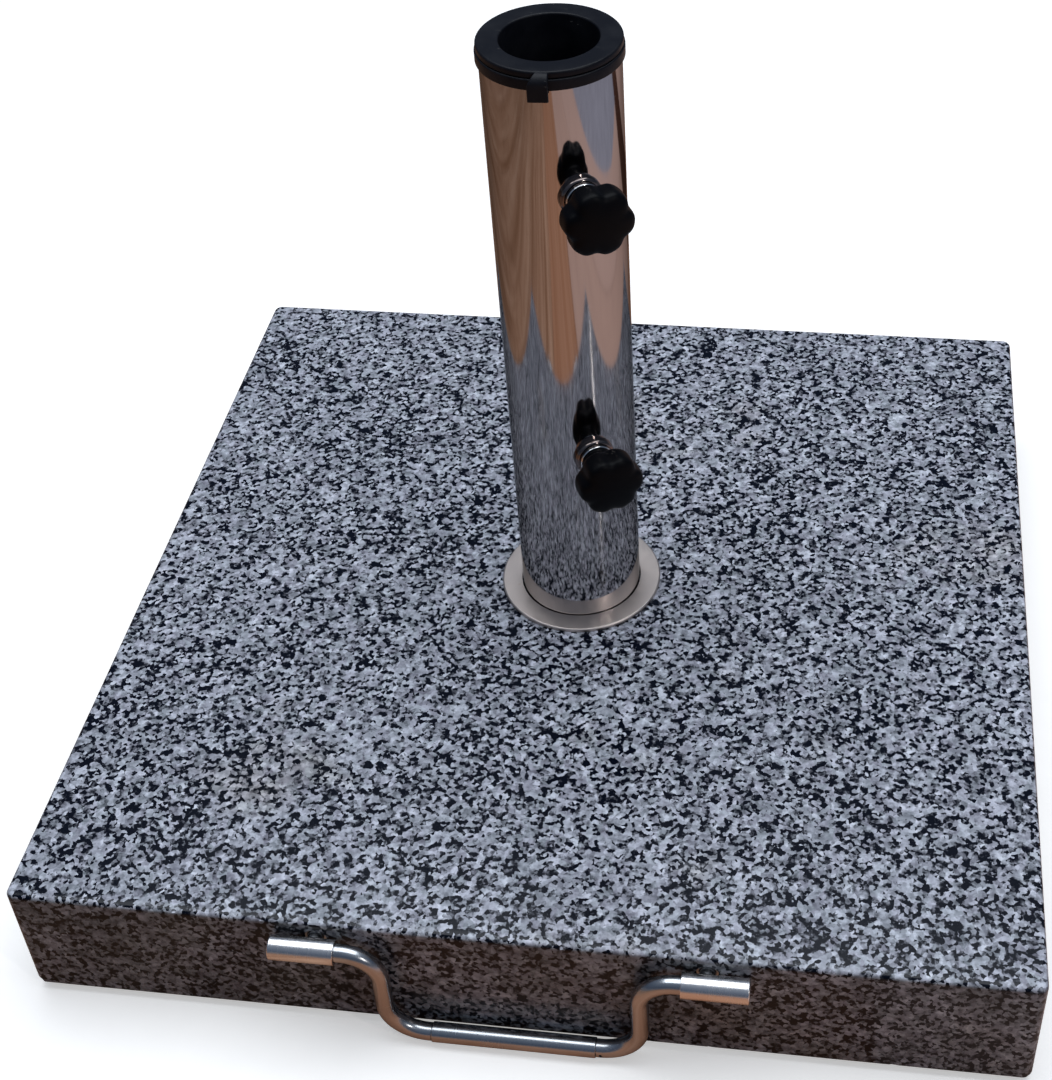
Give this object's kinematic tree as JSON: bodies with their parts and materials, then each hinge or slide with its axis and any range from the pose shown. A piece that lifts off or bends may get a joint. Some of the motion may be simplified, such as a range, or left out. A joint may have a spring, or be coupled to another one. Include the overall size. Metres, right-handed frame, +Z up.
{
  "type": "parasol base",
  "caption": "Square granite slab with an upright steel tube that grips a parasol pole with clamp knobs, a swinging carry handle and transport rollers.",
  "frame": {"origin": "on the tube's axis, at the ground under the feet", "axes": "+Z up along the tube, -Y towards the carry handle, +X to the right when facing the handle"},
  "size_m": [0.45, 0.474, 0.3745],
  "materials": {
    "granite": "polished",
    "mirror_steel": "polished",
    "satin_steel": "satin",
    "zinc_steel": "satin",
    "bright_chrome": "polished",
    "black_plastic": "satin",
    "knob_plastic": "satin",
    "nylon": "satin",
    "foot_rubber": "matte",
    "tyre_rubber": "matte"
  },
  "bodies": {
    "base": {"granite_slab": "granite", "foot_front_left": "foot_rubber", "foot_front_right": "foot_rubber", "foot_rear_left": "foot_rubber", "foot_rear_right": "foot_rubber", "pole_tube": "mirror_steel", "cover_flange": "satin_steel", "foot_plate": "zinc_steel", "fixing_nut": "zinc_steel", "plate_washer": "zinc_steel", "fixing_bolt": "zinc_steel", "recess_bung": "black_plastic", "rim_ring": "black_plastic", "centring_ring": "black_plastic", "boss_upper": "mirror_steel", "boss_lower": "mirror_steel", "handle_sleeve_left": "satin_steel", "handle_sleeve_right": "satin_steel", "handle_post_left": "satin_steel", "handle_post_right": "satin_steel", "handle_anchor_left": "zinc_steel", "handle_anchor_right": "zinc_steel", "roller_bracket_left": "zinc_steel", "roller_bracket_right": "zinc_steel", "bracket_screw_left_1": "zinc_steel", "bracket_screw_left_2": "zinc_steel", "bracket_screw_right_1": "zinc_steel", "bracket_screw_right_2": "zinc_steel", "roller_axle_left": "zinc_steel", "roller_axle_right": "zinc_steel", "axle_cap_left": "zinc_steel", "axle_cap_right": "zinc_steel"},
    "reducer": {"reducer_sleeve": "black_plastic"},
    "pad_upper": {"pressure_pad_upper": "nylon"},
    "knob_upper": {"clamp_screw_upper": "satin_steel", "knob_ring_upper": "bright_chrome", "star_knob_upper": "knob_plastic"},
    "pad_lower": {"pressure_pad_lower": "nylon"},
    "knob_lower": {"clamp_screw_lower": "satin_steel", "knob_ring_lower": "bright_chrome", "star_knob_lower": "knob_plastic"},
    "handle": {"handle_elbow_left": "satin_steel", "handle_elbow_right": "satin_steel", "handle_grip": "satin_steel"},
    "roller_left": {"roller_hub_left": "black_plastic", "roller_tyre_left": "tyre_rubber"},
    "roller_right": {"roller_hub_right": "black_plastic", "roller_tyre_right": "tyre_rubber"}
  },
  "joints": [
    {"name": "reducer_lift", "type": "slide", "parent": "base", "child": "reducer", "axis": [0, 0, 1], "range_m": [0, 0.06]},
    {"name": "screw_travel_upper", "type": "slide", "parent": "base", "child": "pad_upper", "axis": [0.4695, -0.8829, 0], "range_m": [0, 0.01]},
    {"name": "knob_turn_upper", "type": "hinge", "parent": "pad_upper", "child": "knob_upper", "pos_m": [0, 0, 0.3154], "axis": [0.4695, -0.8829, 0], "range_deg": [0, 2880]},
    {"name": "screw_travel_lower", "type": "slide", "parent": "base", "child": "pad_lower", "axis": [0.4695, -0.8829, 0], "range_m": [0, 0.01]},
    {"name": "knob_turn_lower", "type": "hinge", "parent": "pad_lower", "child": "knob_lower", "pos_m": [0, 0, 0.1742], "axis": [0.4695, -0.8829, 0], "range_deg": [0, 2880]},
    {"name": "handle_swing", "type": "hinge", "parent": "base", "child": "handle", "pos_m": [0, -0.2315, 0.0596], "axis": [-1, 0, 0], "range_deg": [0, 185]},
    {"name": "roller_spin_left", "type": "hinge", "parent": "base", "child": "roller_left", "pos_m": [-0.155, 0.213, 0.0255], "axis": [1, 0, 0], "continuous": true},
    {"name": "roller_spin_right", "type": "hinge", "parent": "base", "child": "roller_right", "pos_m": [0.155, 0.213, 0.0255], "axis": [1, 0, 0], "continuous": true}
  ],
  "couplings": [
    {"joint": "screw_travel_upper", "follows": "knob_turn_upper", "m_per_rad": 0.00019894},
    {"joint": "screw_travel_lower", "follows": "knob_turn_lower", "m_per_rad": 0.00019894}
  ]
}
